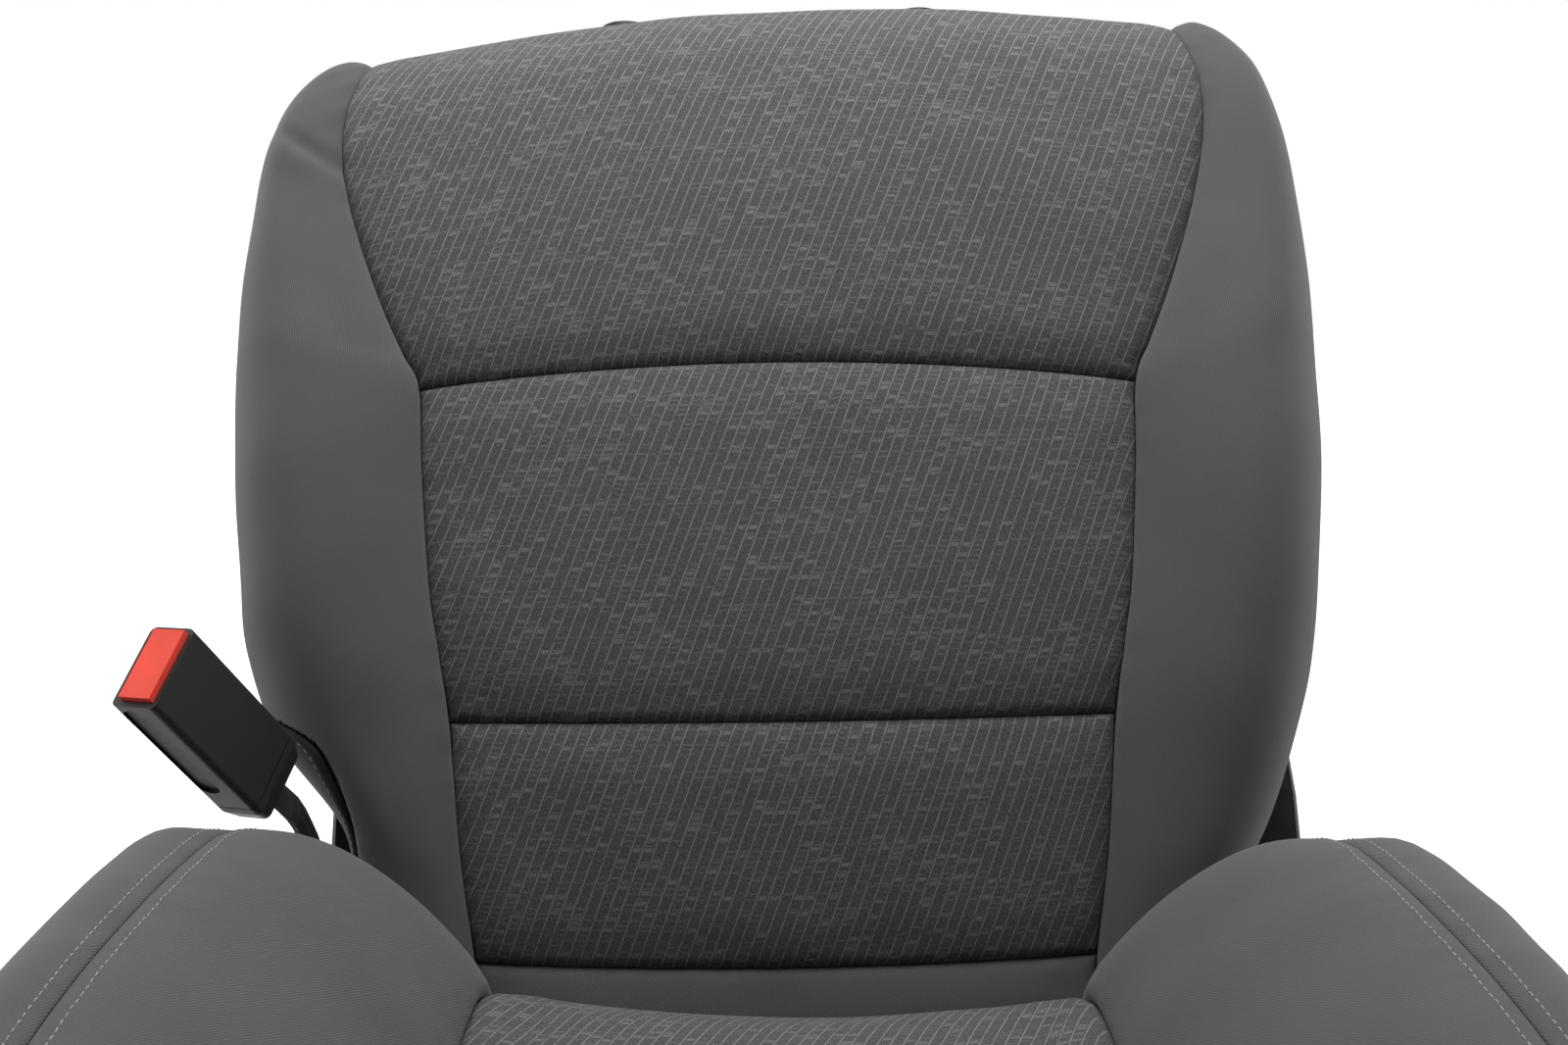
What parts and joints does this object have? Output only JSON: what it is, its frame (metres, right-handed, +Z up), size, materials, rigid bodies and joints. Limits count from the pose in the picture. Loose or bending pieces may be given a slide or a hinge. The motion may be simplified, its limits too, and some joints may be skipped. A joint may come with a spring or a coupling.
{
  "type": "car front seat",
  "caption": "Cloth road-car front seat with bolsters, belt buckle and steel frame on slide rails; it slides, lifts and reclines, without a headrest.",
  "frame": {"origin": "centre of the four floor bolts, on the underside of the rail feet", "axes": "+X the occupant's left and outboard side with the levers, -Y the front of the seat, +Z up; the belt buckle is on the -X side"},
  "size_m": [0.555, 0.7889, 0.8145],
  "materials": {
    "cloth_plain": "fine diagonal twill with a soft sheen",
    "cloth_pattern": "ribbed charcoal cloth with thin grey diagonal lines and short dashes",
    "vinyl": "smooth grained vinyl",
    "foam": "open foam",
    "airbag_cloth": "woven cover",
    "shell_plastic": "fine grained",
    "trim_plastic": "fine grained",
    "buckle_plastic": "grained black",
    "button_red": "satin",
    "frame_paint": "dip-painted satin black",
    "rail_zinc": "zinc-plated",
    "bright_steel": "machined",
    "spring_wire": "oil-blackened wire"
  },
  "bodies": {
    "floor_base": {"floor_rails": "rail_zinc", "front_feet": "rail_zinc", "rear_feet": "rail_zinc", "foot_rivets": "bright_steel"},
    "carriage": {"slide_rails": "rail_zinc", "rail_rollers": "bright_steel", "rail_brackets": "frame_paint", "rail_pins": "bright_steel"},
    "release_handle": {"slide_release_bar": "frame_paint", "slide_latches": "rail_zinc"},
    "front_lift": {"front_links": "frame_paint", "front_torque_tube": "frame_paint"},
    "rear_lift": {"rear_links": "frame_paint", "rear_torque_tube": "frame_paint"},
    "cushion": {"cushion_side_member_left": "frame_paint", "cushion_side_member_right": "frame_paint", "cushion_front_pan": "frame_paint", "cushion_rear_tube": "frame_paint", "cushion_springs": "spring_wire", "cushion_foam": "foam", "cushion_insert": "cloth_pattern", "cushion_bolster_left": "cloth_plain", "cushion_bolster_right": "cloth_plain", "cushion_side_panel_left": "cloth_plain", "cushion_side_panel_right": "cloth_plain", "valance_left": "trim_plastic", "valance_right": "trim_plastic", "front_apron": "trim_plastic", "lift_pump": "bright_steel", "recliner_fixed_discs": "bright_steel", "buckle_bolt": "bright_steel", "buckle_anchor": "rail_zinc", "buckle_stalk": "buckle_plastic", "buckle_housing": "buckle_plastic"},
    "height_handle": {"height_lever": "trim_plastic"},
    "recliner_handle": {"recliner_lever": "trim_plastic", "recliner_shaft": "bright_steel"},
    "belt_button": {"buckle_button": "button_red"},
    "backrest": {"backrest_side_member_left": "frame_paint", "backrest_side_member_right": "frame_paint", "recliner_moving_discs": "bright_steel", "backrest_top_tube": "frame_paint", "backrest_lower_panel": "frame_paint", "lumbar_mat": "spring_wire", "backrest_foam": "foam", "backrest_insert_upper": "cloth_pattern", "backrest_insert_middle": "cloth_pattern", "backrest_insert_lower": "cloth_pattern", "backrest_hem": "cloth_plain", "backrest_bolster_left": "cloth_plain", "backrest_bolster_right": "cloth_plain", "backrest_flap_left": "vinyl", "back_panel": "shell_plastic", "headrest_guide_left": "buckle_plastic", "headrest_guide_right": "buckle_plastic", "side_airbag": "airbag_cloth"},
    "headrest_button": {"headrest_release_button": "buckle_plastic"}
  },
  "joints": [
    {"name": "fore_aft_slide", "type": "slide", "parent": "floor_base", "child": "carriage", "axis": [0, -1, 0], "range_m": [-0.12, 0.12]},
    {"name": "release_lift", "type": "hinge", "parent": "carriage", "child": "release_handle", "pos_m": [0, -0.112, 0.062], "axis": [-1, 0, 0], "range_deg": [0, 8], "stiffness_Nm_per_rad": 2, "springref_deg": -5.73},
    {"name": "rear_link_turn", "type": "hinge", "parent": "carriage", "child": "rear_lift", "pos_m": [0, 0.095, 0.075], "axis": [1, 0, 0], "range_deg": [0, 40]},
    {"name": "cushion_lift", "type": "hinge", "parent": "rear_lift", "child": "cushion", "pos_m": [0, 0.17017, 0.10236], "axis": [1, 0, 0], "range_deg": [-40, 0]},
    {"name": "front_link_turn", "type": "hinge", "parent": "carriage", "child": "front_lift", "pos_m": [0, -0.19, 0.075], "axis": [1, 0, 0], "range_deg": [0, 40]},
    {"name": "height_pump", "type": "hinge", "parent": "cushion", "child": "height_handle", "pos_m": [0.27, 0.02, 0.165], "axis": [-1, 0, 0], "range_deg": [-20, 20], "stiffness_Nm_per_rad": 6},
    {"name": "recliner_pull", "type": "hinge", "parent": "cushion", "child": "recliner_handle", "pos_m": [0, 0.235, 0.265], "axis": [-1, 0, 0], "range_deg": [0, 25], "stiffness_Nm_per_rad": 1, "springref_deg": -11.46},
    {"name": "belt_button_press", "type": "slide", "parent": "cushion", "child": "belt_button", "axis": [0.3105, 0.6309, -0.711], "range_m": [0, 0.005], "stiffness_N_per_m": 800, "springref_m": -0.002},
    {"name": "recline", "type": "hinge", "parent": "cushion", "child": "backrest", "pos_m": [0, 0.235, 0.265], "axis": [-1, 0, 0], "range_deg": [-6, 40]},
    {"name": "headrest_button_press", "type": "slide", "parent": "backrest", "child": "headrest_button", "axis": [-1, 0, 0], "range_m": [0, 0.003], "stiffness_N_per_m": 400, "springref_m": -0.001}
  ],
  "couplings": [
    {"joint": "rear_link_turn", "follows": "cushion_lift", "ratio": -1},
    {"joint": "front_link_turn", "follows": "cushion_lift", "ratio": -1}
  ]
}
